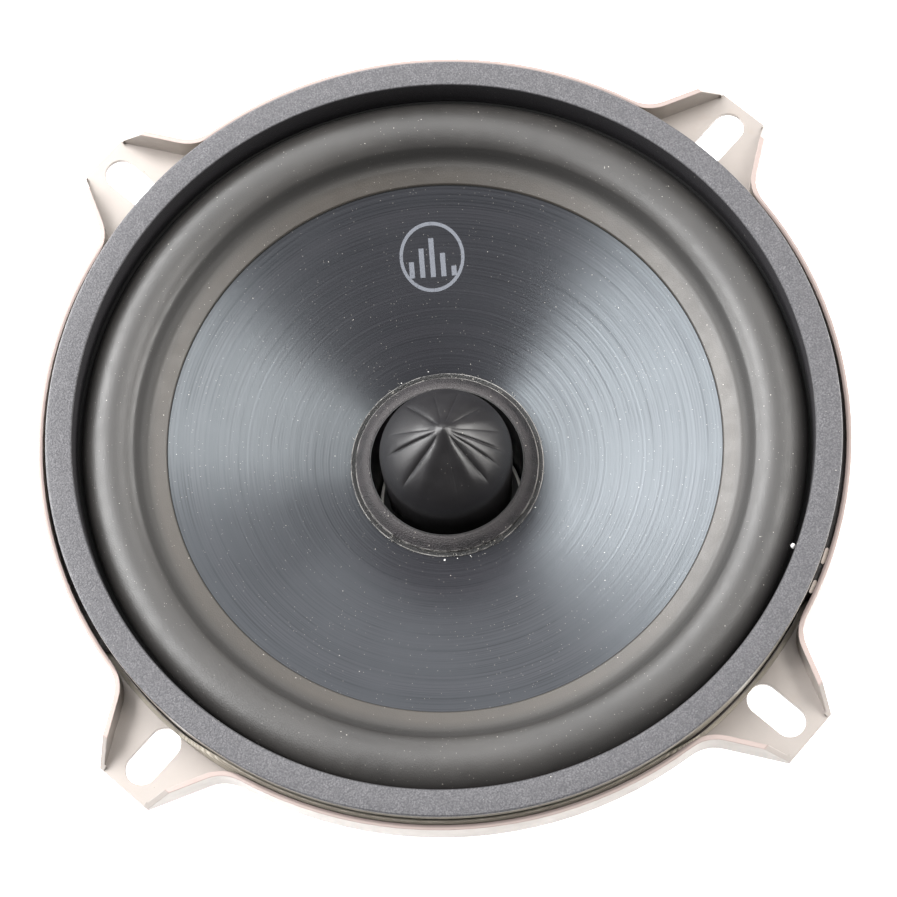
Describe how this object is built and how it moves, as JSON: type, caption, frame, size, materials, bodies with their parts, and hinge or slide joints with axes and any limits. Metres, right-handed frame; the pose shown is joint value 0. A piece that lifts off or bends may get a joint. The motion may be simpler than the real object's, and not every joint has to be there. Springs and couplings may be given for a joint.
{
  "type": "car mid-bass loudspeaker driver",
  "caption": "Round car loudspeaker driver: stamped steel basket with slotted ears, turned plastic cone, rubber surround, fluted phase plug and ring magnet.",
  "frame": {"origin": "centre of the mounting plane, which is the rear face of the ears and of the basket flange", "axes": "+Z along the speaker axis, out of the front; the ears lie on +X, +Y, -X and -Y and the terminals face -Y"},
  "size_m": [0.1516, 0.1516, 0.065],
  "materials": {
    "zinc_plated_steel": "satin",
    "grained_grey_gasket": "matte",
    "zinc_plated_plate": "satin",
    "rivet_steel": "satin",
    "ferrite": "matte",
    "plug_black": "satin",
    "phenolic_board": "matte",
    "brass_eyelets": "satin",
    "tinned_blade": "satin",
    "solder": "satin",
    "tinsel_braid": "satin",
    "surround_rubber": "satin",
    "cone_polypropylene": "satin",
    "collar_fibre": "matte",
    "former_black": "satin",
    "kraft_paper": "matte",
    "enamelled_copper": "satin",
    "pad_adhesive": "satin",
    "spider_cloth": "matte"
  },
  "bodies": {
    "frame": {"basket": "zinc_plated_steel", "gasket_ring": "grained_grey_gasket", "front_plate": "zinc_plated_plate", "plate_rivets": "rivet_steel", "magnet": "ferrite", "t_yoke": "zinc_plated_plate", "phase_plug": "plug_black", "plug_screw": "rivet_steel", "terminal_board": "phenolic_board", "board_rivet": "brass_eyelets", "terminal_positive": "tinned_blade", "terminal_negative": "tinned_blade", "terminal_rivets": "brass_eyelets", "solder_joints": "solder", "tinsel_lead_positive": "tinsel_braid", "tinsel_lead_negative": "tinsel_braid"},
    "diaphragm": {"surround": "surround_rubber", "cone": "cone_polypropylene", "cone_collar": "collar_fibre", "voice_coil_former": "former_black", "former_wrap": "kraft_paper", "voice_coil_winding": "enamelled_copper", "coil_leadouts": "enamelled_copper", "lead_pads": "pad_adhesive", "spider": "spider_cloth"}
  },
  "joints": [
    {"name": "diaphragm_travel", "type": "slide", "parent": "frame", "child": "diaphragm", "axis": [0, 0, 1], "range_m": [-0.004, 0.004], "stiffness_N_per_m": 1500, "deforming": ["surround", "spider", "tinsel_lead_positive", "tinsel_lead_negative"]}
  ]
}
